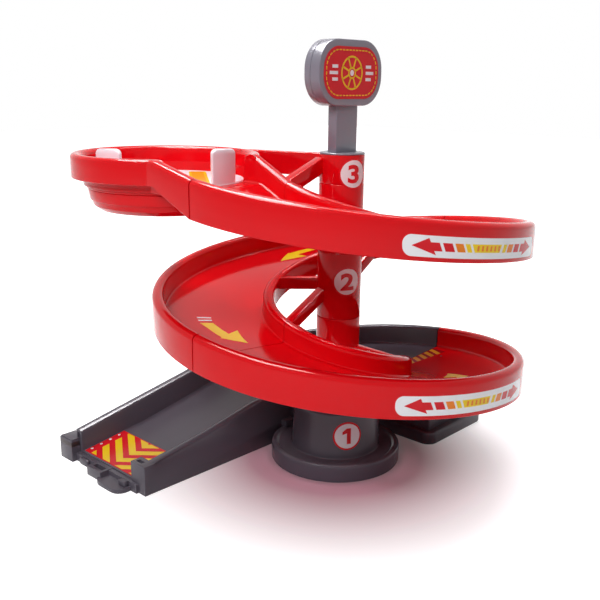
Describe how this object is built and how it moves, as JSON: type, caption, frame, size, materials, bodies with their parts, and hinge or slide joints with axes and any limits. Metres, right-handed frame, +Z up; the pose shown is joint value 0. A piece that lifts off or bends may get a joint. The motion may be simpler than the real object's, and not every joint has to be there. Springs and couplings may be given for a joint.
{
  "type": "toy race track",
  "caption": "Toy car race track: turntable in a launch pan at the top, spiral lane round a column, exit curve and ramp with connectors, round pedestal, rear foot and a plain sign on a post.",
  "frame": {"origin": "on the column's axis, at the level of the floor the toy stands on", "axes": "+Z up along the column; the exit ramp runs out along -Y; the sign faces +X; the launch pan lies on the -X, -Y side"},
  "size_m": [0.2212, 0.227, 0.2335],
  "materials": {
    "red_plastic": "gloss",
    "grey_plastic": "satin",
    "white_plastic": "satin",
    "screw_steel": "satin",
    "printed_label": "gloss",
    "red_label": "gloss",
    "white_label": "gloss"
  },
  "bodies": {
    "frame": {"lower_half_turn": "red_plastic", "middle_half_turn": "red_plastic", "upper_half_turn": "red_plastic", "exit_curve": "grey_plastic", "base_pedestal": "grey_plastic", "rear_support": "grey_plastic", "exit_ramp": "grey_plastic", "launch_pan": "red_plastic", "pan_under_cover": "red_plastic", "cover_screws": "screw_steel", "sign_post": "grey_plastic", "sign_front_shell": "grey_plastic", "sign_back_shell": "grey_plastic", "sign_screws": "screw_steel", "sign_label": "red_label", "number_label_three": "red_label", "number_label_two": "white_label", "number_label_one": "white_label", "ramp_label": "printed_label"},
    "turntable": {"turntable": "white_plastic", "turntable_label": "printed_label", "turntable_washer": "screw_steel", "turntable_screw": "screw_steel"}
  },
  "joints": [
    {"name": "turntable_spin", "type": "hinge", "parent": "frame", "child": "turntable", "pos_m": [-0.0678, -0.0653, 0.1612], "axis": [0, 0, 1], "continuous": true}
  ]
}
